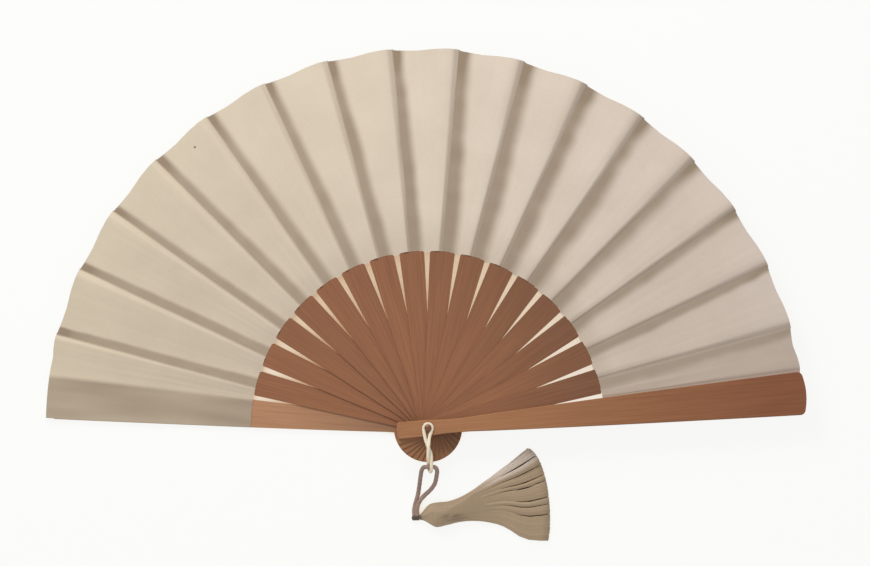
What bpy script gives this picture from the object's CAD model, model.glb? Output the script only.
"""Looks of a folding hand fan that lies open on a pale table.

The wooden sticks, guards and rivet keep their solids and get their finish here. The
pleated leaf is made as one panel for each space between two ribs, so that it folds as
the fan closes. The cords, the knot and the tassel are modelled strand by strand.
"""

import logging
import math
import random
from dataclasses import dataclass, field, replace
from enum import Enum
from typing import Any, Callable, ClassVar, Sequence

import bmesh
import bpy
from mathutils import Matrix, Vector, noise

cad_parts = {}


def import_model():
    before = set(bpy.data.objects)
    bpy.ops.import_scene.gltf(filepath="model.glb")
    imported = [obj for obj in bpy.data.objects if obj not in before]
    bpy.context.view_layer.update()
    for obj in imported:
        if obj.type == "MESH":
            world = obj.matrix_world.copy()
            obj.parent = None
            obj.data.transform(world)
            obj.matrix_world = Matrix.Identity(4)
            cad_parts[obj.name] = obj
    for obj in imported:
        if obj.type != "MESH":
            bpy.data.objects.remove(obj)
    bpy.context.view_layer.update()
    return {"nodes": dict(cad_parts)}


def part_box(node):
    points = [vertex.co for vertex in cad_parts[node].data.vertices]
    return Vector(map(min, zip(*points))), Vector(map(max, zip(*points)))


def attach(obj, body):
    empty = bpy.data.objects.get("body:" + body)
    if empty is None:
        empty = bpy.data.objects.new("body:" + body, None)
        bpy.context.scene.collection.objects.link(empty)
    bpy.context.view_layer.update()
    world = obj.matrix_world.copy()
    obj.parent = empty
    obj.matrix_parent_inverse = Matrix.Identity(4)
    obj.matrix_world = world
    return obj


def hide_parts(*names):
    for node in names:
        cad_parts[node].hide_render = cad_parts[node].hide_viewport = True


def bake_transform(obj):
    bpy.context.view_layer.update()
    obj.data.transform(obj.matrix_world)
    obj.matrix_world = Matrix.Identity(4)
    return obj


Tree = bpy.types.NodeTree
Socket = bpy.types.NodeSocket
Keys = Sequence[tuple[float, float]]
Route = tuple[tuple[float, float, float], ...]
Section = tuple[tuple[float, float], tuple[float, float], float, float]

LOG = logging.getLogger("fan")
MM = 0.001
PHOTO_WIDTH_PX = 870
PHOTO_HEIGHT_PX = 566
# The photo's pixel in millimetres, and the pixel where the rivet stands in it
PIXEL_MM = 0.557
RIVET_PX = (428.0, 428.0)
# Most of a noise pattern lies between these two values
NOISE_SPAN = (0.3, 0.7)


class Slot(Enum):
    """The record's material slots."""

    GUARD = "guard_wood"
    STICK = "stick_wood"
    LEAF = "leaf_paper"
    RIVET = "rivet_metal"
    LOOP = "loop_cord"
    CORD = "tassel_cord"
    KNOT = "tassel_knot"
    YARN = "tassel_yarn"


def linear(code: str) -> tuple[float, float, float, float]:
    """Turns an sRGB hex code into a linear colour.

    Args:
        code: six hex digits.

    Returns:
        Red, green, blue and an alpha of 1.
    """
    parts = [int(code[i : i + 2], 16) / 255 for i in (0, 2, 4)]
    red, green, blue = (c / 12.92 if c <= 0.04045 else ((c + 0.055) / 1.055) ** 2.4 for c in parts)
    return red, green, blue, 1.0


def add_node(
    tree: Tree,
    kind: str,
    settings: dict[str | int, Any] | None = None,
    links: dict[str | int, Socket] | None = None,
) -> bpy.types.Node:
    """Adds a node with its settings and links.

    Args:
        tree: the node tree that gets it.
        kind: the node's type, such as ShaderNodeTexNoise.
        settings: values of its properties or of its input sockets.
        links: the sockets that feed its inputs.

    Returns:
        The node.
    """
    node = tree.nodes.new(kind)
    for key, value in (settings or {}).items():
        if isinstance(key, str) and hasattr(node, key):
            setattr(node, key, value)
        else:
            node.inputs[key].default_value = value
    for key, socket in (links or {}).items():
        tree.links.new(socket, node.inputs[key])
    return node


def lay_over(
    tree: Tree,
    under: str | Socket,
    over: str | Socket,
    pattern: Socket,
    span: tuple[float, float] = (0.0, 1.0),
    amount: tuple[float, float] = (0.0, 1.0),
    blend: str = "MIX",
) -> Socket:
    """Lays one colour over another, as strongly as a pattern says.

    Args:
        tree: the material's nodes.
        under: the colour below, a hex code or a socket.
        over: the colour that is laid on it.
        pattern: the value that decides how strongly.
        span: two values of the pattern, between which the strength changes evenly.
        amount: the strength at these two values and beyond them.
        blend: how the two colours mix.

    Returns:
        The colour that shows.
    """
    strength = add_node(
        tree,
        "ShaderNodeMapRange",
        {"From Min": span[0], "From Max": span[1], "To Min": amount[0], "To Max": amount[1]},
        {"Value": pattern},
    )
    settings: dict[str | int, Any] = {"data_type": "RGBA", "blend_type": blend}
    links: dict[str | int, Socket] = {0: strength.outputs["Result"]}
    for index, colour in ((6, under), (7, over)):
        if isinstance(colour, str):
            settings[index] = linear(colour)
        else:
            links[index] = colour
    return add_node(tree, "ShaderNodeMix", settings, links).outputs[2]


def mix(a: float, b: float, t: float) -> float:
    """Value at the share t of the way from a to b."""
    return a + (b - a) * t


def ease(t: float) -> float:
    """Smooth step from 0 to 1 for t from 0 to 1."""
    t = min(1.0, max(0.0, t))
    return t * t * (3 - 2 * t)


def keyed(keys: Keys, t: float) -> float:
    """Reads a curve that is straight between its keys.

    Args:
        keys: pairs of a place and the value there, in order.
        t: the place to read.

    Returns:
        The value at t, which stays the same past the first and the last key.
    """
    if t <= keys[0][0]:
        return keys[0][1]
    for (t0, v0), (t1, v1) in zip(keys, keys[1:]):
        if t <= t1:
            return mix(v0, v1, (t - t0) / (t1 - t0))
    return keys[-1][1]


def through(values: Sequence[Any], t: float) -> Any:
    """Runs a smooth curve through four values or points.

    Args:
        values: the four of them, evenly spaced along the curve.
        t: share of the way from the second to the third.

    Returns:
        The value or point there.
    """
    a, b, c, d = values
    bend = 2 * a - 5 * b + 4 * c - d
    return 0.5 * (2 * b + (c - a) * t + bend * t**2 + (3 * b - a - 3 * c + d) * t**3)


def smooth_line(points: Sequence[Vector], per_span: int) -> list[Vector]:
    """Runs a smooth curve through points.

    Args:
        points: the points that it passes through.
        per_span: how many steps it takes between two of them.

    Returns:
        The curve's points, ends included.
    """
    line: list[Vector] = []
    last = len(points) - 1
    for i in range(last):
        four = (points[max(i - 1, 0)], points[i], points[i + 1], points[min(i + 2, last)])
        line += [through(four, k / per_span) for k in range(per_span)]
    return [*line, points[-1].copy()]


def new_object(name: str, data: bpy.types.ID) -> bpy.types.Object:
    """Links a new object for a mesh, a light or a camera.

    Args:
        name: the object's name.
        data: what it shows.

    Returns:
        The object, at the origin.
    """
    made = bpy.data.objects.new(name, data)
    bpy.context.scene.collection.objects.link(made)
    return made


def object_from(bm: bmesh.types.BMesh, name: str, smooth: bool = True) -> bpy.types.Object:
    """Makes an object from a bmesh and frees it.

    Args:
        bm: the bmesh, with its place in metres in its points.
        name: the object's name.
        smooth: whether its faces are shaded smooth.

    Returns:
        The object, at the origin.
    """
    mesh = bpy.data.meshes.new(name)
    for face in bm.faces:
        face.smooth = smooth
    bm.to_mesh(mesh)
    bm.free()
    return new_object(name, mesh)


def finish_piece(
    piece: bpy.types.Object, body: str, material: bpy.types.Material, node: str
) -> None:
    """Dresses a piece, puts it on its body and hides the node that it stands for.

    Args:
        piece: the piece's object.
        body: the body that it moves with.
        material: its finish.
        node: the CAD node that it replaces.
    """
    piece.data.materials.append(material)
    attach(piece, body)
    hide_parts(node)
    LOG.info("%s rides on %s", piece.name, body)


@dataclass(frozen=True)
class Finish:
    """A surface finish. Each kind paints its own node tree."""

    name: str
    roughness: float

    def material(self) -> bpy.types.Material:
        """Makes the material at the first call and gives the same one after it.

        Returns:
            The material.
        """
        made = bpy.data.materials.get(self.name)
        if made is not None:
            return made
        made = bpy.data.materials.new(self.name)
        made.use_nodes = True
        tree = made.node_tree
        tree.nodes.clear()
        shader = add_node(tree, "ShaderNodeBsdfPrincipled", {"Roughness": self.roughness})
        add_node(tree, "ShaderNodeOutputMaterial", links={"Surface": shader.outputs["BSDF"]})
        self.paint(tree, shader)
        return made

    def paint(self, tree: Tree, shader: bpy.types.Node) -> None:
        """Adds the colour, the roughness and the relief to the shader's tree."""
        raise NotImplementedError


@dataclass(frozen=True)
class StainedWood(Finish):
    """Planed pear or birch, stained brown and rubbed with a thin satin varnish.

    To the eye that gives a fine, straight grain along the piece, short darker pores,
    a slow change of tone along its length and a soft broad gloss. The widths and
    lengths are those of the grain's fibres, of its pores and of the slow change.
    """

    light: str
    dark: str
    angle: float
    seed: float
    fade_mm: tuple[float, float] = (60.0, 96.0)
    fade_to: str = "FFFFFF"
    tail: tuple[str, str] | None = None
    tail_mm: tuple[float, float] = (-8.0, -2.0)
    fibre_mm: float = 0.9
    fibre_length_mm: float = 34.0
    pore_mm: float = 0.35
    pore_length_mm: float = 5.0
    pore_span: tuple[float, float] = (0.62, 0.74)
    tone_mm: float = 15.0
    tone_length_mm: float = 60.0

    def turned(self, tree: Tree) -> Socket:
        """Turns the coordinates so that X runs along the piece, away from the rivet.

        Args:
            tree: the material's nodes.

        Returns:
            The coordinates, in metres.
        """
        place = add_node(tree, "ShaderNodeTexCoord").outputs["Object"]
        turn = {"Rotation": (0, 0, -self.angle)}
        return add_node(tree, "ShaderNodeMapping", turn, {"Vector": place}).outputs["Vector"]

    def grained(self, tree: Tree, width: float, length: float, **look: float) -> Socket:
        """Adds a pattern of streaks along the piece.

        Args:
            tree: the material's nodes.
            width: a streak's width in millimetres.
            length: its length in millimetres.
            look: the noise's other settings.

        Returns:
            The pattern's value.
        """
        stretched = add_node(
            tree,
            "ShaderNodeMapping",
            {
                "Location": (self.seed * 7.3, self.seed * 3.1, self.seed),
                "Scale": (1 / (length * MM), 1 / (width * MM), 1 / (width * 3 * MM)),
            },
            {"Vector": self.turned(tree)},
        )
        links = {"Vector": stretched.outputs["Vector"]}
        return add_node(tree, "ShaderNodeTexNoise", {"Scale": 1.0, **look}, links).outputs["Fac"]

    def paint(self, tree: Tree, shader: bpy.types.Node) -> None:
        """Adds fibres, pores and slow tone, and a relief of the fibres.

        Args:
            tree: the material's nodes.
            shader: the shader that they feed.
        """
        fibres = self.grained(
            tree, self.fibre_mm, self.fibre_length_mm, Detail=4.0, Roughness=0.6, Distortion=0.4
        )
        pores = self.grained(tree, self.pore_mm, self.pore_length_mm, Detail=2.0, Roughness=0.5)
        tone = self.grained(tree, self.tone_mm, self.tone_length_mm, Detail=1.0)
        shown = lay_over(tree, self.dark, self.light, fibres, NOISE_SPAN)
        if self.tail is not None:
            handled = lay_over(tree, *self.tail, fibres, NOISE_SPAN)
            along_it = {"Vector": self.turned(tree)}
            ahead = add_node(tree, "ShaderNodeSeparateXYZ", links=along_it).outputs["X"]
            behind = (self.tail_mm[0] * MM, self.tail_mm[1] * MM)
            shown = lay_over(tree, shown, handled, ahead, behind, (1, 0))
        shown = lay_over(tree, shown, self.light, tone, (0.35, 0.65), (0, 0.25))
        shown = lay_over(tree, shown, self.dark, pores, self.pore_span, (0, 0.2))
        place = add_node(tree, "ShaderNodeTexCoord").outputs["Object"]
        length = {"operation": "LENGTH"}
        away = add_node(tree, "ShaderNodeVectorMath", length, {0: place}).outputs["Value"]
        fading = (self.fade_mm[0] * MM, self.fade_mm[1] * MM)
        shown = lay_over(tree, shown, self.fade_to, away, fading, blend="MULTIPLY")
        tree.links.new(shown, shader.inputs["Base Color"])
        gloss = {
            "From Min": NOISE_SPAN[0],
            "From Max": NOISE_SPAN[1],
            "To Min": self.roughness + 0.06,
            "To Max": self.roughness - 0.05,
        }
        rough = add_node(tree, "ShaderNodeMapRange", gloss, {"Value": fibres})
        tree.links.new(rough.outputs["Result"], shader.inputs["Roughness"])
        shader.inputs["Coat Weight"].default_value = 0.15
        shader.inputs["Coat Roughness"].default_value = 0.35
        bump = {"Strength": 0.15, "Distance": 0.05 * MM}
        relief = add_node(tree, "ShaderNodeBump", bump, {"Height": fibres})
        tree.links.new(relief.outputs["Normal"], shader.inputs["Normal"])


@dataclass(frozen=True)
class LeafPaper(Finish):
    """Thin unbleached paper, folded and glued over the ribs.

    To the eye that gives a matt, warm surface with faint short fibres. Over the ribs
    the brown wood shows through it, and along the folds it is a little darker. The
    fibres are drawn as long as they need to show.
    """

    left: str
    right: str
    over_rib: str
    fibre_colour: str = "8C7C66"
    fibre_mm: float = 1.1
    cloud_mm: float = 28.0
    speck_at: tuple[float, float] | None = None
    speck_mm: tuple[float, float] = (0.5, 0.8)
    speck_colour: str = "7A5A3A"

    def paint(self, tree: Tree, shader: bpy.types.Node) -> None:
        """Adds the paper's tone, the ribs that show through, its fibres and its relief.

        Args:
            tree: the material's nodes.
            shader: the shader that they feed.
        """
        sheet = add_node(tree, "ShaderNodeUVMap", {"uv_map": "sheet"}).outputs["UV"]
        side = add_node(tree, "ShaderNodeAttribute", {"attribute_name": "side"}).outputs["Fac"]
        rib = add_node(tree, "ShaderNodeAttribute", {"attribute_name": "rib"}).outputs["Fac"]
        clouds = add_node(
            tree,
            "ShaderNodeTexNoise",
            {"Scale": 1 / self.cloud_mm, "Detail": 3.0, "Roughness": 0.55},
            {"Vector": sheet},
        ).outputs["Fac"]
        fibres = add_node(
            tree,
            "ShaderNodeTexNoise",
            {"Scale": 1 / self.fibre_mm, "Detail": 5.0, "Roughness": 0.7, "Distortion": 1.2},
            {"Vector": sheet},
        ).outputs["Fac"]
        shown = lay_over(tree, self.left, self.right, side)
        shown = lay_over(tree, shown, self.over_rib, clouds, NOISE_SPAN, (0.12, 0))
        shown = lay_over(tree, shown, self.over_rib, rib)
        shown = lay_over(tree, shown, self.fibre_colour, fibres, (0.25, 0.75), (0.1, 0), "MULTIPLY")
        if self.speck_at is not None:
            centre = {"operation": "DISTANCE", 1: (*self.speck_at, 0)}
            away = add_node(tree, "ShaderNodeVectorMath", centre, {0: sheet}).outputs["Value"]
            shown = lay_over(tree, shown, self.speck_colour, away, self.speck_mm, (0.8, 0))
        tree.links.new(shown, shader.inputs["Base Color"])
        shader.inputs["Specular IOR Level"].default_value = 0.25
        shader.inputs["Sheen Weight"].default_value = 0.08
        bump = {"Strength": 0.35, "Distance": 0.08 * MM}
        relief = add_node(tree, "ShaderNodeBump", bump, {"Height": fibres})
        tree.links.new(relief.outputs["Normal"], shader.inputs["Normal"])


@dataclass(frozen=True)
class Yarn(Finish):
    """Twisted or combed yarn.

    To the eye that gives fine hairs along each strand, a soft sheen and small changes
    of tone from strand to strand. A strand's own tone goes from 0, dark, to 1, light,
    and below 0 it is rubbed. Where it is frayed it is paler.
    """

    light: str
    dark: str
    hair_mm: float = 0.25
    tuft_mm: float = 5.0
    sheen: float = 0.3
    strands: bool = False
    frayed: str = "FFF0E2"
    rubbed: str = "6E6654"

    def paint(self, tree: Tree, shader: bpy.types.Node) -> None:
        """Adds tone, hairs and their relief.

        Args:
            tree: the material's nodes.
            shader: the shader that they feed.
        """
        place = add_node(tree, "ShaderNodeTexCoord").outputs["Object"]
        hairs = add_node(
            tree,
            "ShaderNodeTexNoise",
            {"Scale": 1 / (self.hair_mm * MM), "Detail": 3.0, "Roughness": 0.65},
            {"Vector": place},
        ).outputs["Fac"]
        if self.strands:
            tone = add_node(tree, "ShaderNodeAttribute", {"attribute_name": "tone"}).outputs["Fac"]
            frayed = add_node(
                tree, "ShaderNodeAttribute", {"attribute_name": "frayed"}
            ).outputs["Fac"]
            shown = lay_over(tree, self.dark, self.rubbed, tone, (-0.6, 0), (0.7, 0))
            shown = lay_over(tree, shown, self.light, tone)
            shown = lay_over(tree, shown, self.frayed, frayed)
        else:
            tuft = {"Scale": 1 / (self.tuft_mm * MM), "Detail": 2.0}
            tufts = add_node(tree, "ShaderNodeTexNoise", tuft, {"Vector": place}).outputs["Fac"]
            shown = lay_over(tree, self.dark, self.light, tufts, NOISE_SPAN)
        shown = lay_over(tree, shown, self.dark, hairs, NOISE_SPAN, (0.4, 0))
        tree.links.new(shown, shader.inputs["Base Color"])
        shader.inputs["Sheen Weight"].default_value = self.sheen
        shader.inputs["Sheen Roughness"].default_value = 0.5
        shader.inputs["Specular IOR Level"].default_value = 0.3
        bump = {"Strength": 0.5, "Distance": 0.08 * MM}
        relief = add_node(tree, "ShaderNodeBump", bump, {"Height": hairs})
        tree.links.new(relief.outputs["Normal"], shader.inputs["Normal"])


@dataclass(frozen=True)
class LacqueredBrass(Finish):
    """Turned brass under a brown lacquer that is a little worn on its crown.

    To the eye that gives a dull brown button with small brighter patches.
    """

    bright: str
    brown: str
    patch_mm: float = 0.7

    def paint(self, tree: Tree, shader: bpy.types.Node) -> None:
        """Adds the lacquer's thin and thick patches.

        Args:
            tree: the material's nodes.
            shader: the shader that they feed.
        """
        place = add_node(tree, "ShaderNodeTexCoord").outputs["Object"]
        patch = {"Scale": 1 / (self.patch_mm * MM), "Detail": 4.0, "Roughness": 0.6}
        patches = add_node(tree, "ShaderNodeTexNoise", patch, {"Vector": place}).outputs["Fac"]
        shown = lay_over(tree, self.brown, self.bright, patches, (0.45, 0.7))
        tree.links.new(shown, shader.inputs["Base Color"])
        shader.inputs["Metallic"].default_value = 0.3


@dataclass(frozen=True)
class WhiteCard(Finish):
    """Smooth white card, lit until it is almost white, with a faint shadow left on it.

    Under the blades, where wood closes it in, it is warmer, and where the gaps between
    the sticks are narrow it takes on the brown of the wood.
    """

    colour: str
    glow: str
    warm: str
    deep: str
    shown: float = 0.9
    reach_mm: float = 30.0
    blades_mm: tuple[float, float] = (99.0, 107.0)

    def paint(self, tree: Tree, shader: bpy.types.Node) -> None:
        """Shows most of the card as plain white and the rest as lit card.

        Args:
            tree: the material's nodes.
            shader: the shader of the lit card.
        """
        shader.inputs["Base Color"].default_value = linear(self.colour)
        shader.inputs["Specular IOR Level"].default_value = 0.0
        rays = add_node(tree, "ShaderNodeLightPath").outputs
        larger = {"operation": "MAXIMUM"}
        mirrored = add_node(
            tree,
            "ShaderNodeMath",
            larger,
            {0: rays["Is Glossy Ray"], 1: rays["Is Transmission Ray"]},
        ).outputs[0]
        seen = add_node(
            tree, "ShaderNodeMath", larger, {0: rays["Is Camera Ray"], 1: mirrored}
        ).outputs[0]
        share = add_node(
            tree, "ShaderNodeMath", {"operation": "MULTIPLY", 1: self.shown}, {0: seen}
        )
        reach = {"samples": 12, "Distance": self.reach_mm * MM}
        uncovered = add_node(tree, "ShaderNodeAmbientOcclusion", reach).outputs["AO"]
        place = add_node(tree, "ShaderNodeTexCoord").outputs["Object"]
        length = {"operation": "LENGTH"}
        away = add_node(tree, "ShaderNodeVectorMath", length, {0: place}).outputs["Value"]
        blades = {"From Min": self.blades_mm[0] * MM, "From Max": self.blades_mm[1] * MM}
        past_blades = add_node(
            tree, "ShaderNodeMapRange", blades, {"Value": away}
        ).outputs["Result"]
        open_sky = add_node(
            tree, "ShaderNodeMath", larger, {0: uncovered, 1: past_blades}
        ).outputs[0]
        closed_in = lay_over(tree, self.deep, self.warm, open_sky, (0.05, 0.23))
        card_light = lay_over(tree, closed_in, self.glow, open_sky, (0.23, 0.5))
        white = add_node(tree, "ShaderNodeEmission", {"Strength": 1.0}, {"Color": card_light})
        card = add_node(
            tree,
            "ShaderNodeMixShader",
            links={0: share.outputs[0], 1: shader.outputs["BSDF"], 2: white.outputs["Emission"]},
        )
        output = next(node for node in tree.nodes if node.type == "OUTPUT_MATERIAL")
        tree.links.new(card.outputs["Shader"], output.inputs["Surface"])


@dataclass
class FanLayout:
    """Where the guards, the sticks and the leaf stand, in millimetres and degrees."""

    spread: float = 170.0
    sticks: int = 16
    neck_r: float = 18.0
    guard_r: float = 211.6
    guard_w: float = 24.0
    guard_neck_w: float = 7.4
    guard_flare: float = 0.85
    guard_wide_inset: float = 6.0
    shoulder_r: float = 98.6
    rib_r: float = 207.0
    rib_root_w: float = 8.4
    rib_tip_w: float = 6.0
    rib_t: float = 0.5
    glue_t: float = 0.05
    leaf_t: float = 0.25

    @property
    def pitch(self) -> float:
        """Angle from one piece to the next."""
        return self.spread / (self.sticks + 1)

    @property
    def last(self) -> int:
        """Number of the front guard, counted from the back guard."""
        return self.sticks + 1

    def angle(self, i: int) -> float:
        """Angle of piece i's centre line."""
        return 90 + self.spread / 2 - i * self.pitch

    def body(self, i: int) -> str:
        """Name of piece i, which is its node's and its body's.

        Args:
            i: the piece's number, from the back guard.

        Returns:
            The name.
        """
        if i == 0:
            return "back_guard"
        return "front_guard" if i == self.last else f"stick_{i:02d}"

    def rib_half(self, r: float) -> float:
        """Half width of a rib at radius r."""
        t = (r - self.shoulder_r) / (self.rib_r - self.shoulder_r)
        return mix(self.rib_root_w, self.rib_tip_w, t) / 2

    def guard_half(self, r: float) -> float:
        """Half width of a guard at radius r, past its neck."""
        t = (r - self.neck_r) / (self.guard_r - self.guard_wide_inset - self.neck_r)
        return mix(self.guard_neck_w, self.guard_w, min(1.0, t) ** self.guard_flare) / 2

    def half(self, i: int, r: float) -> float:
        """Half width at radius r of what the leaf lies on or under at piece i."""
        return self.guard_half(r) if i in (0, self.last) else self.rib_half(r)

    def arc(self, r: float) -> float:
        """Length along the circle of radius r from one piece to the next."""
        return math.radians(self.pitch) * r

    def leaf_z(self, i: int) -> float:
        """Height of the leaf's underside at piece i.

        Args:
            i: the piece's number, from the back guard.

        Returns:
            The height, in millimetres.
        """
        low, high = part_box(self.body(i))
        if i == 0:
            return high[2] / MM + self.glue_t
        if i == self.last:
            return low[2] / MM - self.glue_t - self.leaf_t
        return low[2] / MM + self.rib_t + self.glue_t


@dataclass
class Leaf:
    """The pleated leaf, one panel for each space between two ribs.

    Over a rib it is flat. From the rib's right edge it rises gently to a crest and
    drops to the next rib, and its rim stands out at the crest.
    """

    layout: FanLayout
    space: float = 0.12
    blade_half: float = 7.0
    tuck: float = 1.0
    rim_r: float = 211.0
    rim_skew: float = 1.9
    rim_wave: float = 0.8
    margin: float = 0.6
    crest_share: float = 0.1
    crest_at: float = 0.88
    rows: int = 44
    rib_steps: int = 5
    rise_steps: int = 22
    drop_steps: int = 12
    fold_half_mm: float = 6.0
    wrinkle_mm: float = 0.1
    speck_panel: int = 4
    over_guard: float = 0.6
    sheet_apart_mm: float = 40.0
    heights: list[float] = field(default_factory=list)

    RIM_KEYS: ClassVar[Keys] = (
        (0.0, -0.4), (0.14, -0.8), (0.3, -0.95), (0.45, -0.35), (0.6, 0.4), (0.82, 1.0),
        (0.92, 0.95), (1.0, 0.7),
    )

    # How high the crest of a panel is, by the panel's number: low under the front guard
    CREST_KEYS: ClassVar[Keys] = (
        (0.0, 0.7), (4.0, 0.85), (6.0, 1.0), (9.0, 0.8), (13.0, 0.7), (15.0, 0.55), (16.0, 0.4),
    )
    # How far a panel laps over the next rib's edge before it lies down, by that rib's number
    LAP_KEYS: ClassVar[Keys] = (
        (1.0, 1.2), (2.0, 2.6), (8.0, 3.0), (10.0, 3.5), (13.0, 4.1), (14.0, 3.4), (15.0, 2.7),
        (16.0, 2.6),
    )
    # By the rib's number: how far past its centre line the brown shows, how softly it ends,
    # and how dark it is
    BROWN_TO: ClassVar[Keys] = (
        (1.0, 2.6), (2.0, 4.2), (3.0, 3.8), (4.0, 4.8), (6.0, 5.2), (8.0, 5.9), (9.0, 7.0),
        (10.0, 7.5), (11.0, 7.5), (12.0, 6.9), (13.0, 6.0), (14.0, 4.2), (15.0, 3.5),
        (16.0, 5.2),
    )
    BROWN_SOFT: ClassVar[Keys] = (
        (1.0, 1.8), (2.0, 2.4), (3.0, 3.2), (5.0, 5.0), (8.0, 5.5), (10.0, 7.5), (13.0, 8.5),
        (14.0, 5.5), (15.0, 3.4), (16.0, 5.0),
    )
    BROWN_DEPTH: ClassVar[Keys] = (
        (1.0, 0.7), (3.0, 0.74), (6.0, 0.78), (8.0, 0.88), (12.0, 0.86), (14.0, 0.8),
        (15.0, 0.76), (16.0, 0.56),
    )

    @property
    def in_r(self) -> float:
        """Radius of the leaf's lower edge."""
        return self.layout.shoulder_r + self.space

    def free(self, i: int, r: float) -> tuple[float, float]:
        """Where the free stretch of panel i starts at radius r, and how long it is.

        Args:
            i: the panel's number.
            r: the radius, in millimetres.

        Returns:
            Its start past the first piece's centre line, and its length.
        """
        start = self.layout.half(i, r) + self.margin
        lap = keyed(self.LAP_KEYS, i + 1) if i < self.layout.sticks else -self.margin
        end = self.layout.arc(r) - self.layout.half(i + 1, r) + lap
        return start, end - start

    def steps(self, i: int) -> list[float]:
        """Places of the columns across panel i.

        From -2 to -1 is the flap over the back guard's far half, from -1 to 0 is the
        flat over the first piece, 0 to 1 is free, 1 to 2 is the flat over the next
        piece, and 2 to 3 is the flap under the front guard.

        Args:
            i: the panel's number.

        Returns:
            The places, in order.
        """
        flat = [k / self.rib_steps for k in range(self.rib_steps)]
        rise = [self.crest_at * 0.9 * k / self.rise_steps for k in range(self.rise_steps)]
        start = self.crest_at * 0.9
        drop = [mix(start, 1.0, k / self.drop_steps) for k in range(self.drop_steps)]
        places = [*(x - 1 for x in flat), *rise, *drop, *(1 + x for x in flat), 2.0]
        if i == 0:
            places = [*(x - 2 for x in flat), *places]
        if i == self.layout.sticks:
            places = [*places, *(2 + x for x in flat[1:]), 3.0]
        return places

    def rim(self, i: int, place: float) -> float:
        """Radius of the rim at a place across panel i.

        Args:
            i: the panel's number.
            place: the place, as steps gives it.

        Returns:
            The radius, in millimetres.
        """
        keys = self.RIM_KEYS
        seam = 0.15
        share = min(1.0, max(0.0, place))
        turned = math.radians(self.layout.angle(i) - share * self.layout.pitch)
        middle = self.rim_r - self.rim_skew * math.cos(turned)
        if i == 0 and place < 0.45:
            wave = mix(0.0, keyed(keys, 0.45), ease(place / 0.45))
        elif place < 0:
            wave = mix(seam, keys[0][1], ease(place + 1))
        elif place > 1:
            wave = mix(keys[-1][1], seam, ease(place - 1))
        else:
            wave = keyed(keys, place)
        tucked = 0.7 * ease((place - 0.9) / 0.6) if i == self.layout.sticks else 0.0
        return middle + self.rim_wave * wave - tucked

    def lower_edge(self, i: int, place: float) -> float:
        """Radius of the lower edge, which comes in a little between two blades' corners.

        Args:
            i: the panel's number.
            place: the place across the panel, as steps gives it.

        Returns:
            The radius, in millimetres.
        """
        start, free = self.free(i, self.in_r)
        across = start + min(1.0, max(0.0, place)) * free
        rounding = 0.8
        corner = self.blade_half - rounding
        if i in (0, self.layout.sticks):
            return self.in_r
        left_over = self.layout.arc(self.in_r) - corner - across
        inside = ease((across - corner) / rounding) * ease(left_over / rounding)
        return self.in_r - self.tuck * inside

    def wrinkle(self, angle: float, r: float, share: float) -> float:
        """Height of the soft creases that run along the ribs.

        Args:
            angle: the point's angle, in degrees.
            r: its radius, in millimetres.
            share: its share of the way across the free stretch.

        Returns:
            The height, in millimetres.
        """
        calm = ease(share * 5) * ease((1 - share) * 5)
        across = Vector((angle * 1.6, r * 0.018, 3.7))
        broad = Vector((angle * 0.45, r * 0.03, 9.1))
        return self.wrinkle_mm * calm * (noise.noise(across) + 1.4 * noise.noise(broad))

    def point(self, i: int, place: float, up: float) -> tuple[Vector, float, float]:
        """Place of one point of panel i.

        Args:
            i: the panel's number.
            place: its place across the panel, as steps gives it.
            up: its share of the way from the lower edge to the rim.

        Returns:
            Its position in millimetres, its length from the first piece's centre line
            along its circle, and its radius.
        """
        lay = self.layout
        r = mix(self.lower_edge(i, place), self.rim(i, place), up)
        start, free = self.free(i, r)
        low, high = self.heights[i], self.heights[i + 1]
        share = min(1.0, max(0.0, place))
        if place < -1:
            across, z = (place + 1) * (lay.half(i, r) - 0.2), low
        elif place < 0:
            across, z = (place + 1) * start, low
        elif place > 2:
            across, z = lay.arc(r) + (place - 2) * 0.8 * lay.half(i + 1, r), high
        elif place > 1:
            end = start + free
            across, z = mix(end, lay.arc(r), place - 1), high
        else:
            across = start + share * free
            rise = min(1.0, share / self.crest_at)
            soft = mix(0.1, 0.24, ease((i - 5) / 4))
            height = 0.35 * rise + 0.65 * rise**2.2 - 0.89 * max(0.0, rise - 1 + soft) ** 2 / soft
            height *= 1 - ease((share - self.crest_at) / (1 - self.crest_at))
            crest = self.crest_share * keyed(self.CREST_KEYS, i) * free * height
            z = mix(low, high, ease(share / self.crest_at)) + crest
        angle = lay.angle(i) - math.degrees(across / r)
        z += self.wrinkle(angle, r, share)
        turned = math.radians(angle)
        return Vector((r * math.cos(turned), r * math.sin(turned), z)), across, r

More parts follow.
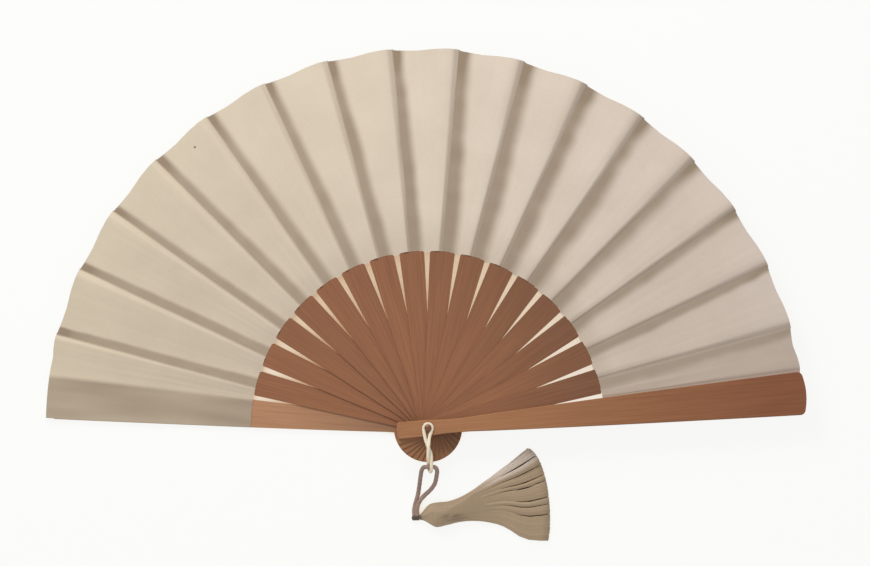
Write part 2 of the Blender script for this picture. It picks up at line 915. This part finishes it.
    def shade(self, i: int, across: float, r: float) -> float:
        """How much of the wood below shows through at a place: 1 over a rib, 0 away from it.

        Args:
            i: the panel's number.
            across: length from the first piece's centre line, in millimetres.
            r: the radius, in millimetres.

        Returns:
            The share of the wood's colour.
        """
        lay = self.layout
        past = across
        before = lay.arc(r) - across
        turn = i / lay.sticks
        up = (r - self.in_r) / (self.rim_r - self.in_r)
        slow = noise.noise(Vector((i * 5.3, r * 0.035, 0.5)))
        quick = noise.noise(Vector((i * 3.1, r * 0.12, 4.2)))
        dark = 0.0
        if i > 0:
            soft = keyed(self.BROWN_SOFT, i)
            narrower = 1 - mix(0.02, 0.2, ease(turn * 2)) * ease((up - 0.35) * 1.7)
            uneven = mix(0.8, 2.2, ease(turn * 2.5 - 0.7))
            edge = keyed(self.BROWN_TO, i) * narrower + uneven * (0.6 * slow + 0.35 * quick)
            dark = keyed(self.BROWN_DEPTH, i) * ease((edge + soft / 2 - past) / soft)
        if i < lay.sticks:
            soft = mix(2.6, 2.0, up) + 2.4 * ease((turn - 0.35) * 3)
            shows = mix(0.3, 1.5, ease(turn * 2 - 0.75))
            edge = lay.rib_half(r) - keyed(self.LAP_KEYS, i + 1) + shows + 0.4 * slow
            depth = keyed(self.BROWN_DEPTH, i + 1)
            dark = max(dark, depth * ease((edge + soft / 2 - before) / soft))
            fringe = 0.32 * ease((turn - 0.35) * 3) * ease((r - 160) / 30)
            dark = max(dark, fringe * ease((7.5 - before) / 7))
        near_rim = 0.3 * ease((r - 192) / 18) + 0.35 * ease((r - 203) / 8) * (1 - turn)
        dark *= 1 + near_rim + 0.1 * quick
        if i == 0:
            streak = 1 + 0.55 * noise.noise(Vector((past * 0.2, r * 0.025, 6.6)))
            over = ease((lay.guard_half(r) + 0.8 - past) / 1.6)
            dark = max(dark, self.over_guard * streak * over)
        near_blades = mix(0.2, 0.42, ease(turn * 2 - 1)) * ease((self.in_r + 24 - r) / 24)
        under_guard = 0.45 if i == lay.sticks else 0.0
        low_side = mix(0.2, 0.28, turn) * math.cos(math.radians(lay.angle(i) - lay.pitch / 2)) ** 2
        low_side *= 1 - 0.45 * ease(2 * up - 1)
        return min(1.0, mix(max(near_blades, under_guard, low_side), 1.0, dark))

    def build_panel(self, i: int) -> bpy.types.Object:
        """Makes panel i from a grid, with the sheet's own coordinates and its shades.

        Args:
            i: the panel's number.

        Returns:
            The panel's object.
        """
        lay = self.layout
        places = self.steps(i)
        columns, rows = len(places) - 1, self.rows
        bm = bmesh.new()
        bmesh.ops.create_grid(bm, x_segments=columns, y_segments=rows, size=0.5)
        rib = bm.verts.layers.float.new("rib")
        side = bm.verts.layers.float.new("side")
        sheet = bm.loops.layers.uv.new("sheet")
        flat: dict[bmesh.types.BMVert, tuple[float, float]] = {}
        for vert in bm.verts:
            column = round((vert.co.x + 0.5) * columns)
            up = vert.co.y + 0.5
            spot, across, r = self.point(i, places[column], up)
            vert.co = spot * MM
            vert[rib] = self.shade(i, across, r)
            vert[side] = 0.5 + 0.5 * spot.x / lay.guard_r
            flat[vert] = (across + i * self.sheet_apart_mm, r)
        for face in bm.faces:
            for loop in face.loops:
                loop[sheet].uv = flat[loop.vert]
        bm.normal_update()
        if sum(face.normal.z for face in bm.faces) < 0:
            bmesh.ops.reverse_faces(bm, faces=bm.faces[:])
        return object_from(bm, f"leaf_panel_{i + 1:02d}")

    def build(self, paper: LeafPaper, spotted: LeafPaper) -> None:
        """Makes all the panels, dresses them and lets each fold between its two bodies.

        Args:
            paper: the leaf's finish.
            spotted: the same finish with the dark speck.
        """
        lay = self.layout
        self.heights = [lay.leaf_z(i) for i in range(lay.last + 1)]
        for i in range(lay.last):
            panel = self.build_panel(i)
            panel.data.materials.append((spotted if i == self.speck_panel else paper).material())
            thick = panel.modifiers.new("paper", "SOLIDIFY")
            thick.thickness = lay.leaf_t * MM
            thick.offset = 1.0
            edges = panel.modifiers.new("cut_edges", "EDGE_SPLIT")
            edges.split_angle = math.radians(60)
            middle = math.radians(lay.angle(i) - lay.pitch / 2)
            lay.body(i)
            lay.body(i + 1)
            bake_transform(panel)
            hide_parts("leaf")
            width, depth = lay.arc(self.rim_r), self.rim_r - self.in_r
            mean = lay.arc((self.rim_r + self.in_r) / 2)
            if i == 0:
                width, mean = width + lay.guard_w / 2, mean + lay.guard_w * 0.4
            if i == lay.sticks:
                width, mean = width + lay.guard_w * 0.4, mean + lay.guard_w * 0.32
            lay.body(i)
            lay.body(i + 1)
            LOG.info("%s folds between %s and %s", panel.name, lay.body(i), lay.body(i + 1))


@dataclass
class Woodwork:
    """The guards and sticks, each with its grain along it and a tone of its own."""

    layout: FanLayout
    stick_light: str = "9F6842"
    stick_dark: str = "895535"
    tail: tuple[str, str] = ("91613C", "A7744B")

    def tone(self, code: str, share: float) -> str:
        """The same colour a little lighter or darker."""
        parts = [int(code[i : i + 2], 16) for i in (0, 2, 4)]
        return "".join(f"{min(255, max(0, round(c * (1 + share)))):02X}" for c in parts)

    def wood(self, i: int, share: float) -> StainedWood:
        """The finish of piece i, share lighter than its kind.

        Args:
            i: the piece's number, from the back guard.
            share: how much lighter it is.

        Returns:
            The finish.
        """
        angle = math.radians(self.layout.angle(i))
        name = f"stained_pear_{i:02d}"
        if i == 0:
            return StainedWood(
                name=name, roughness=0.42, light="C08E68", dark="AD7955",
                angle=angle, seed=1.0, fade_mm=(75.0, 30.0), fade_to="DBDBDA",
            )
        if i == self.layout.last:
            return StainedWood(
                name=name, roughness=0.36, light="B27B51", dark="9C6840",
                angle=angle, seed=2.0, fade_mm=(40.0, 195.0), fade_to="D2B9AB",
            )
        turn = ease((i - 5) / 9)
        return StainedWood(
            name=name,
            roughness=0.45,
            light=self.tone(self.stick_light, share),
            dark=self.tone(self.stick_dark, share),
            angle=angle,
            seed=3.0 + i,
            fade_mm=(45.0, 96.0),
            fade_to=self.tone("FFFFFF", -0.02 - 0.12 * turn),
            tail=self.tail,
        )

    def build(self, nodes: dict[str, bpy.types.Object]) -> None:
        """Gives every wooden node its finish.

        Args:
            nodes: the CAD nodes, by name.
        """
        rng = random.Random(12)
        for i in range(self.layout.last + 1):
            name = self.layout.body(i)
            node = nodes[name]
            node.data.materials.clear()
            node.data.materials.append(self.wood(i, rng.uniform(-0.02, 0.03)).material())
            LOG.info("%s is stained wood", name)


def along(line: Sequence[Vector], count: int) -> list[Vector]:
    """Points at even spaces along a line, count + 1 of them.

    Args:
        line: the line's points.
        count: the number of spaces.

    Returns:
        The points, ends included.
    """
    run = [0.0]
    for a, b in zip(line, line[1:]):
        run.append(run[-1] + (b - a).length)
    points: list[Vector] = []
    k = 0
    for i in range(count + 1):
        at = run[-1] * i / count
        while k < len(run) - 2 and run[k + 1] < at:
            k += 1
        share = (at - run[k]) / max(run[k + 1] - run[k], 1e-9)
        points.append(line[k].lerp(line[k + 1], min(1.0, share)))
    return points


def length_of(line: Sequence[Vector]) -> float:
    """Length of a line."""
    return sum((b - a).length for a, b in zip(line, line[1:]))


def add_rolled(
    bm: bmesh.types.BMesh, rings: int, sides: int, place: Callable[[float, float], Vector]
) -> list[bmesh.types.BMVert]:
    """Adds a grid that is rolled into a closed skin.

    Args:
        bm: the bmesh that gets it.
        rings: how many spaces it has along its length.
        sides: how many it has around.
        place: gives the point in millimetres for the shares along and around.

    Returns:
        Its vertices before the seam is welded.
    """
    made = bmesh.ops.create_grid(bm, x_segments=rings, y_segments=sides, size=0.5)["verts"]
    for vert in made:
        up = round((vert.co.x + 0.5) * rings) / rings
        around = (round((vert.co.y + 0.5) * sides) % sides) / sides
        vert.co = place(up, around) * MM
    return made


def weld(bm: bmesh.types.BMesh) -> None:
    """Welds the seams and poles of the rolled skins and turns their faces outwards."""
    bmesh.ops.remove_doubles(bm, verts=bm.verts[:], dist=1e-8)
    bmesh.ops.recalc_face_normals(bm, faces=bm.faces[:])


@dataclass
class Twist:
    """A cord of several plies, twisted round one another, along a line."""

    name: str
    points: Sequence[tuple[float, float, float]]
    wide: float
    thick: float
    plies: int = 3
    turn_mm: float = 6.0
    groove: float = 0.16
    sides: int = 18
    step_mm: float = 0.45
    level: bool = False

    def centre(self) -> list[Vector]:
        """Its centre line, in millimetres."""
        return smooth_line([Vector(p) for p in self.points], 8)

    def frames(self, line: Sequence[Vector]) -> list[tuple[Vector, Vector]]:
        """The side and upward directions of its section at each point of a line.

        Args:
            line: the points.

        Returns:
            The two directions for each point.
        """
        made: list[tuple[Vector, Vector]] = []
        side = Vector((1, 0, 0))
        for i in range(len(line)):
            ahead = (line[min(i + 1, len(line) - 1)] - line[max(i - 1, 0)]).normalized()
            if self.level:
                side = ahead.cross(Vector((0, 0, 1))).normalized()
            else:
                side = (side - ahead * side.dot(ahead)).normalized()
            made.append((side, side.cross(ahead)))
        return made

    def build(self) -> tuple[bpy.types.Object, list[Vector]]:
        """Makes the cord's skin.

        Returns:
            The object, and its centre line in millimetres.
        """
        line = self.centre()
        total = length_of(line)
        rings = max(8, round(total / self.step_mm))
        stations = along(line, rings)
        frames = self.frames(stations)

        def place(up: float, around: float) -> Vector:
            """Gives a point of the cord's skin.

            Args:
                up: share of the way along it.
                around: share of the way around it.

            Returns:
                The point, in millimetres.
            """
            i = round(up * rings)
            side, rise = frames[i]
            turn = 2 * math.pi * around
            ply = self.plies * (turn - 2 * math.pi * up * total / self.turn_mm) / 2
            depth = 1 - self.groove * (1 - abs(math.cos(ply)) ** 0.8)
            end = min(1.0, min(up, 1 - up) * total / (0.4 * self.thick))
            depth *= math.sqrt(max(0.0, 1 - (1 - end) ** 2))
            return stations[i] + depth * (
                side * math.cos(turn) * self.wide / 2 + rise * math.sin(turn) * self.thick / 2
            )

        bm = bmesh.new()
        add_rolled(bm, rings, self.sides, place)
        weld(bm)
        return object_from(bm, self.name), stations


@dataclass
class Hanging:
    """The cream loop round the rivet, the tassel's cord through it, and the knot."""

    top_mm: float
    body: str = "back_guard"

    LOOP: ClassVar[Route] = (
        (0.45, 2.27, 1), (-0.6, 2.27, 1), (-1.7, 1.6, 1), (-2.35, 0.2, 1), (-2.3, -1.8, 1),
        (-1.9, -4.3, 1), (-1.2, -7.2, 1), (-0.1, -10.2, 1), (0.9, -12.6, 1), (1.6, -15, 1),
        (1.8, -17.5, 1), (1.8, -19.8, 0.95), (1.8, -21.8, 0.8), (1.8, -23.6, -0.1),
        (1.3, -24.4, -1.7), (0.7, -23.7, -3), (0.3, -21.9, -3.5), (0.15, -20.15, -2.6),
        (0.05, -19.1, -0.1), (0, -17.2, 1.45), (0, -14.6, 2.5), (0.1, -12, 3.1),
        (0.3, -9.4, 2.9), (0.5, -7, 2.1), (0.85, -4.7, 1.3), (1.6, -2.6, 1), (2.25, -0.6, 1),
        (2.1, 0.9, 1), (1.5, 1.8, 1), (0.6, 2.27, 1), (-0.45, 2.27, 1),
    )
    CORD: ClassVar[Route] = (
        (-7.8, -49.4, 1.3), (-8, -46.5, 1.2), (-7.6, -43.5, 1.2), (-6.6, -40, 1.7),
        (-5.6, -36, 3.6), (-4.9, -31.5, 7.8), (-4.3, -27, 13), (-3.7, -23.8, 16.6),
        (-2.6, -22, 18.1), (-0.8, -21.7, 18.4), (1.3, -21.7, 18.4), (3.6, -21.8, 18.3),
        (4.9, -23.6, 16.8), (4.6, -27, 13), (3.6, -31, 8.2), (1.2, -34.4, 5),
        (-1.8, -37.2, 3.7), (-4.4, -40, 3.3), (-5.9, -43, 3), (-6.4, -46, 2.9),
        (-6.1, -49.3, 2.6),
    )
    KNOT_AT: ClassVar[tuple[float, float, float]] = (-6.7, -49.9, 1.8)

    def build_loop(self, cotton: Yarn) -> None:
        """Makes the cream loop, which hangs from the rivet.

        Args:
            cotton: its finish.
        """
        drawn_at, air, half = 1, 0.15, 0.8
        lift = self.top_mm - drawn_at + air + half
        points = [(x, y, z + lift) for x, y, z in self.LOOP]
        twist = Twist(
            "hanging_cord_loop", points, wide=1.95, thick=1.55, turn_mm=5.0, level=True
        )
        piece, line = twist.build()
        finish_piece(piece, self.body, cotton.material(), "hanging_loop")

    def build_cord(self, rayon: Yarn) -> None:
        """Makes the tassel's cord, from the knot up through the loop and back.

        Args:
            rayon: its finish.
        """
        twist = Twist(
            "tassel_hanger",
            self.CORD,
            wide=2.5,
            thick=1.8,
            plies=4,
            turn_mm=14.0,
            groove=0.1,
            sides=20,
            level=True,
        )
        piece, line = twist.build()
        finish_piece(piece, self.body, rayon.material(), "tassel_cord")

    def build_knot(self, dark: Yarn) -> None:
        """Makes the knot, as turns that lie side by side along the tassel.

        Args:
            dark: its finish.
        """
        x, y, z = self.KNOT_AT
        turns, tall = 3.3, 0.95
        points = []
        for k in range(45):
            t = k / 44
            turn = 2 * math.pi * turns * t + 0.6
            out, rise = tall * math.cos(turn), tall * math.sin(turn)
            points.append((x + 4.3 * (t - 0.5), y + out, z + rise))
        twist = Twist("cord_knot", points, wide=1.5, thick=1.5, turn_mm=7.0, step_mm=0.35, sides=14)
        piece, _ = twist.build()
        finish_piece(piece, self.body, dark.material(), "tassel_knot")


@dataclass
class Rivet:
    """The pin through all the pieces, with a domed head in front and a peened end behind."""

    top_mm: float
    shank: float = 1.25
    head: float = 1.95
    head_height: float = 0.9
    peen: float = 1.9
    peen_low: float = 0.05
    peen_high: float = 0.35
    loop_room: float = 1.9

    def build(self, brass: LacqueredBrass) -> None:
        """Spins its profile round its axis.

        Args:
            brass: its finish.
        """
        under = self.top_mm + self.loop_room
        profile = [(0.0, self.peen_low), (self.peen - 0.15, self.peen_low)]
        profile += [(self.peen, self.peen_low + 0.12)]
        profile += [(self.peen, self.peen_high), (self.shank, self.peen_high), (self.shank, under)]
        profile += [(self.head - 0.1, under), (self.head, under + 0.08)]
        for k in range(1, 9):
            turn = math.radians(90 * k / 8)
            profile.append((self.head * math.cos(turn), under + self.head_height * math.sin(turn)))
        bm = bmesh.new()
        line = [bm.verts.new(Vector((r, 0, z)) * MM) for r, z in profile]
        edges = [bm.edges.new(pair) for pair in zip(line, line[1:])]
        bmesh.ops.spin(
            bm,
            geom=[*line, *edges],
            cent=(0, 0, 0),
            axis=(0, 0, 1),
            angle=2 * math.pi,
            steps=48,
            use_merge=True,
        )
        weld(bm)
        finish_piece(
            object_from(bm, "domed_rivet"), "back_guard", brass.material(), "rivet"
        )


@dataclass
class Tassel:
    """The bundle of yarn: a gathered head and a skirt that parts into locks."""

    head_top: float = 9.0
    lock_top: float = 2.2
    parts_at: float = 6.0
    strands: int = 150
    under_strands: int = 90
    rings: int = 26
    sides: int = 5
    thick: float = 0.38
    slit_share: float = 0.011

    # Upper edge, lower edge, bulge of the middle towards the ends, share of the head's height
    SECTIONS: ClassVar[tuple[Section, ...]] = (
        ((-4.6, -48.8), (-4.6, -51.0), 0.0, 0.26),
        ((-2.8, -46.4), (-2.2, -51.4), 0.2, 0.5),
        ((0.2, -42.9), (1.4, -53.6), 0.3, 0.84),
        ((4.2, -41.7), (4.8, -55.1), 0.3, 1.0),
        ((11.0, -41.1), (10.6, -53.8), 0.3, 0.96),
        ((17.0, -39.1), (17.0, -52.2), 0.5, 0.84),
        ((23.4, -35.6), (25.2, -51.6), 1.0, 0.7),
        ((30.0, -30.7), (33.6, -52.5), 2.0, 0.55),
        ((37.4, -25.0), (42.6, -55.2), 3.5, 0.42),
        ((45.6, -18.6), (53.6, -61.9), 5.2, 0.32),
        ((54.0, -11.3), (66.6, -63.1), 7.2, 0.24),
    )
    # Where two locks part, across the skirt, and the section where the slit between them begins
    PARTINGS: ClassVar[tuple[float, ...]] = (0, 0.08, 0.18, 0.29, 0.35, 0.53, 0.6, 0.71, 1)
    SLITS_FROM: ClassVar[tuple[float, ...]] = (0, 7.4, 7.0, 7.0, 7.1, 8.1, 7.2, 7.9, 0)
    LIFTS: ClassVar[tuple[float, ...]] = (0.1, 0.5, 0.2, 0.6, 0.25, 0.55, 0.15, 0.4)

    def at(self, s: float) -> tuple[Vector, Vector, float, float]:
        """Upper edge, lower edge, bulge and height at section s, between the sections too.

        Args:
            s: the section, from 0 at the knot to 10 at the ends.

        Returns:
            The two edges' points, the bulge and the share of the head's height.
        """
        last = len(self.SECTIONS) - 1
        i = min(int(s), last - 1)
        t = s - i
        rows = [self.SECTIONS[min(max(i + k, 0), last)] for k in (-1, 0, 1, 2)]

        upper = through([Vector(row[0]) for row in rows], t)
        lower = through([Vector(row[1]) for row in rows], t)
        bulge, share = (through([row[k] for row in rows], t) for k in (2, 3))
        return upper, lower, bulge, share

    def lock_of(self, v: float) -> tuple[int, float]:
        """The lock at the share v across the skirt, and the share across that lock.

        Args:
            v: share across the skirt, from its upper edge.

        Returns:
            The lock's number, and the share across it.
        """
        for k in range(len(self.PARTINGS) - 1):
            if v <= self.PARTINGS[k + 1]:
                break
        low, high = self.PARTINGS[k], self.PARTINGS[k + 1]
        return k, (v - low) / (high - low)

    def spot(self, s: float, v: float, up: float, slit: float = 1.0) -> Vector:
        """A point of the bundle.

        Args:
            s: section, from 0 at the knot to 10 at the ends.
            v: share across it, from the upper edge.
            up: share of its height there.
            slit: how wide the slits between the locks stand open.

        Returns:
            The point, in millimetres.
        """
        upper, lower, bulge, share = self.at(s)
        k, q = self.lock_of(v)
        wide = self.slit_share * slit * (1 - 0.5 * ease(s - 9))
        open_low = wide * ease((s - self.SLITS_FROM[k]) / 1.2) if k > 0 else 0.0
        open_high = wide * ease((s - self.SLITS_FROM[k + 1]) / 1.2) if k < 7 else 0.0
        v = mix(self.PARTINGS[k] + open_low, self.PARTINGS[k + 1] - open_high, q)
        flat = upper.lerp(lower, v)
        w = 2 * v - 1
        x, y = flat.x + bulge * 2.2 * v**0.4 * (1 - v) ** 0.85, flat.y
        half = share * self.head_top / 2
        dome = math.sqrt(max(0.0, 1 - (min(1.0, abs(w) / 0.99)) ** 2))
        round_low, round_high = half * (0.88 - min(0.88, dome)) + 0.1, half * (0.88 + dome) + 0.1
        foot = 0.1 + self.LIFTS[k] * ease((s - 5.5) / 3)
        crown = 1 - 0.25 * ease((s - 6) / 2.5) * (1 - math.sin(math.pi * q) ** 0.6)
        tall = mix(share * self.head_top * 0.72, self.lock_top, ease((s - 5) / 5)) * crown
        parted = ease((s - 4.5) / 3.5)
        low, high = mix(round_low, foot, parted), mix(round_high, foot + tall, parted)
        return Vector((x, y, mix(low, high, up)))

    def add_strand(
        self,
        bm: bmesh.types.BMesh,
        layers: tuple[Any, Any],
        v: float,
        up: float,
        colour: float,
        rng: random.Random,
    ) -> None:
        """Adds one strand of yarn.

        Args:
            bm: the bmesh that gets it.
            layers: the layers for its tone and for how frayed it is.
            v: its share across the bundle.
            up: its share of the bundle's height.
            colour: its tone, from 0 for dark to 1 for light.
            rng: source of its small irregularities.
        """
        phase, sway = rng.uniform(0, 50), rng.uniform(0.002, 0.007)
        end = 10 - abs(rng.gauss(0, 0.03))
        line = []
        for k in range(self.rings + 1):
            s = mix(0.1, end, min(1.0, max(0, k - 1) / (self.rings - 2)))
            drift = sway * noise.noise(Vector((s * 0.9, phase, 0.0))) * ease((s - 1) / 3)
            rise = 0.12 * noise.noise(Vector((s * 0.8, 0.0, phase)))
            across = min(0.998, max(0.002, v + drift))
            line.append(self.spot(s, across, min(1.0, up + rise) if up < 0.99 else up))
        radius = self.thick * rng.uniform(0.8, 1.15)

        def place(along_it: float, around: float) -> Vector:
            """Gives a point of the strand's skin.

            Args:
                along_it: share of the way along it.
                around: share of the way around it.

            Returns:
                The point, in millimetres.
            """
            i = round(along_it * self.rings)
            near = min(self.rings - 1, max(1, i))
            ahead = (line[min(near + 1, self.rings - 1)] - line[max(near - 1, 1)]).normalized()
            side = ahead.cross(Vector((0, 0, 1))).normalized()
            turn = 2 * math.pi * around
            thin = 0.72 if i < self.rings * 0.4 else 1.0
            size = 0.0 if i in (0, self.rings) else radius * thin
            return line[i] - Vector((0, 0, radius)) + size * (
                side * math.cos(turn) + side.cross(ahead) * math.sin(turn)
            )

        tone, frayed = layers
        loose = ease((0.17 - v) / 0.1) * rng.uniform(0.6, 1.0)
        for vert in add_rolled(bm, self.rings, self.sides, place):
            x, y = vert.co.x / MM, vert.co.y / MM
            rubbed = max(0.0, 1 - ((x - 14) / 9) ** 2 - ((y + 50.2 - 0.02 * x) / 2.6) ** 2)
            speckle = 0.5 + noise.noise(Vector((x * 1.3, y * 2.2, v * 9)))
            vert[tone] = min(1.0, colour - 2.4 * rubbed * speckle**2)
            vert[frayed] = loose * ease((x - 22) / 22)

    def build_strands(self, yarn: Yarn) -> None:
        """Lays the strands side by side, an upper layer and a darker one under it.

        Args:
            yarn: the strands' finish.
        """
        rng = random.Random(7)
        bm = bmesh.new()
        layers = (bm.verts.layers.float.new("tone"), bm.verts.layers.float.new("frayed"))
        for count, up, light in ((self.under_strands, 0.62, 0.3), (self.strands, 1.0, 0.75)):
            for i in range(count):
                v = (i + 0.5 + rng.uniform(-0.3, 0.3)) / count
                self.add_strand(bm, layers, v, up, light + rng.gauss(0, 0.12), rng)
        weld(bm)
        finish_piece(
            object_from(bm, "tassel_strands"), "back_guard", yarn.material(), "tassel"
        )

    def build_core(self, shade: Yarn) -> None:
        """Makes the closed body of the bundle under the strands.

        Args:
            shade: its finish.
        """
        rings, sides = 44, 40

        def place(along_it: float, around: float) -> Vector:
            """Gives a point of the core's skin.

            Args:
                along_it: share of the way along it.
                around: share of the way around it.

            Returns:
                The point, in millimetres.
            """
            s = mix(0.15, 9.93, min(1.0, along_it * rings / (rings - 1)))
            end = 0.0 if along_it in (0.0, 1.0) else 1.0
            turn = 2 * math.pi * around
            v = 0.5 - mix(0.46, 0.485, ease(s - 8)) * math.cos(turn) * end
            crown = mix(0.84, 0.4, ease((s - 4.5) / 3))
            low, high = self.spot(s, v, 0.06, 0.0), self.spot(s, v, crown, 0.0)
            middle = (low + high) / 2
            return middle + (high - middle) * math.sin(turn) * end

        bm = bmesh.new()
        add_rolled(bm, rings, sides, place)
        weld(bm)
        finish_piece(
            object_from(bm, "tassel_core"), "back_guard", shade.material(), "tassel"
        )

    def build(self, yarn: Yarn, shade: Yarn) -> None:
        """Makes the core and the strands."""
        self.build_core(shade)
        self.build_strands(yarn)


@dataclass
class Studio:
    """The camera straight above, the white table and the soft light from the upper left."""

    roll_deg: float = 0.3
    camera_height: float = 1.2
    floor_size: float = 6.0
    room_light: float = 0.54

    def build_camera(self) -> None:
        """Places an orthographic camera that frames the fan as the photo does."""
        data = bpy.data.cameras.new("camera")
        data.type = "ORTHO"
        data.ortho_scale = PHOTO_WIDTH_PX * PIXEL_MM * MM
        data.clip_start, data.clip_end = 0.01, 10.0
        camera = new_object("camera", data)
        x = (PHOTO_WIDTH_PX / 2 - RIVET_PX[0]) * PIXEL_MM * MM
        y = (RIVET_PX[1] - PHOTO_HEIGHT_PX / 2) * PIXEL_MM * MM
        roll = Matrix.Rotation(math.radians(-self.roll_deg), 3, "Z")
        camera.location = roll @ Vector((x, y, self.camera_height))
        camera.rotation_euler = (0, 0, math.radians(-self.roll_deg))
        bpy.context.scene.camera = camera

    def build_floor(self) -> None:
        """Lays the table top under the fan."""
        bm = bmesh.new()
        bmesh.ops.create_grid(bm, x_segments=1, y_segments=1, size=self.floor_size / 2)
        floor = object_from(bm, "floor", smooth=False)
        card = WhiteCard(
            name="white_card",
            roughness=0.9,
            colour="F4F2EE",
            glow="FEFEFC",
            warm="F3DAB5",
            deep="A6673A",
        )
        floor.data.materials.append(card.material())

    def build_lamp(
        self, name: str, size: float, power: float, at: tuple[float, float, float]
    ) -> None:
        """Hangs a square soft lamp that looks at the fan's middle.

        Args:
            name: the lamp's name.
            size: its side, in metres.
            power: its power, in watts.
            at: where it hangs, in metres.
        """
        data = bpy.data.lights.new(name, "AREA")
        data.shape = "SQUARE"
        data.size = size
        data.energy = power
        lamp = new_object(name, data)
        lamp.location = at
        aim = Vector((0, 0.08, 0)) - Vector(at)
        lamp.rotation_euler = aim.to_track_quat("-Z", "Y").to_euler()

    def build(self) -> None:
        """Sets up the camera, the floor, the lamps and the plain world."""
        scene = bpy.context.scene
        scene.view_settings.view_transform = "Standard"
        scene.view_settings.look = "None"
        world = bpy.data.worlds.new("room")
        world.use_nodes = True
        scene.world = world
        back = world.node_tree.nodes.get("Background")
        back.inputs["Color"].default_value = linear("FFFFFF")
        back.inputs["Strength"].default_value = self.room_light
        self.build_camera()
        self.build_floor()
        self.build_lamp("window", size=0.5, power=7.6, at=(-0.35, 0.85, 0.85))


def main() -> None:
    """Builds the fan's looks in order."""
    logging.basicConfig(level=logging.INFO, format="%(name)s: %(message)s")
    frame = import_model()
    Studio().build()
    layout = FanLayout()
    paper = LeafPaper(
        name="pleated_paper", roughness=0.85, left="E7D8BE", right="E5D5C9", over_rib="A08D78"
    )
    spotted = replace(paper, name="pleated_paper_speck", speck_at=(179.9, 203.3))
    Woodwork(layout).build(frame["nodes"])
    Leaf(layout).build(paper, spotted)
    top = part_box("front_guard")[1].z / MM
    brass = LacqueredBrass(name="lacquered_brass", roughness=0.35, bright="9A6A50", brown="7C503C")
    Rivet(top).build(brass)
    hanging = Hanging(top)
    hanging.build_loop(Yarn(name="cream_cotton", roughness=0.8, light="FFF6E2", dark="F2E2C4"))
    hanging.build_cord(
        Yarn(name="taupe_rayon", roughness=0.5, light="B5978A", dark="977D70", tuft_mm=9.0)
    )
    hanging.build_knot(Yarn(name="dark_rayon", roughness=0.6, light="7A6A60", dark="54483F"))
    Tassel().build(
        Yarn(name="combed_yarn", roughness=0.7, light="C5AC8D", dark="9B856A", strands=True),
        Yarn(name="inner_yarn", roughness=0.85, light="6E5E48", dark="574A39"),
    )


if __name__ == "__main__":
    main()
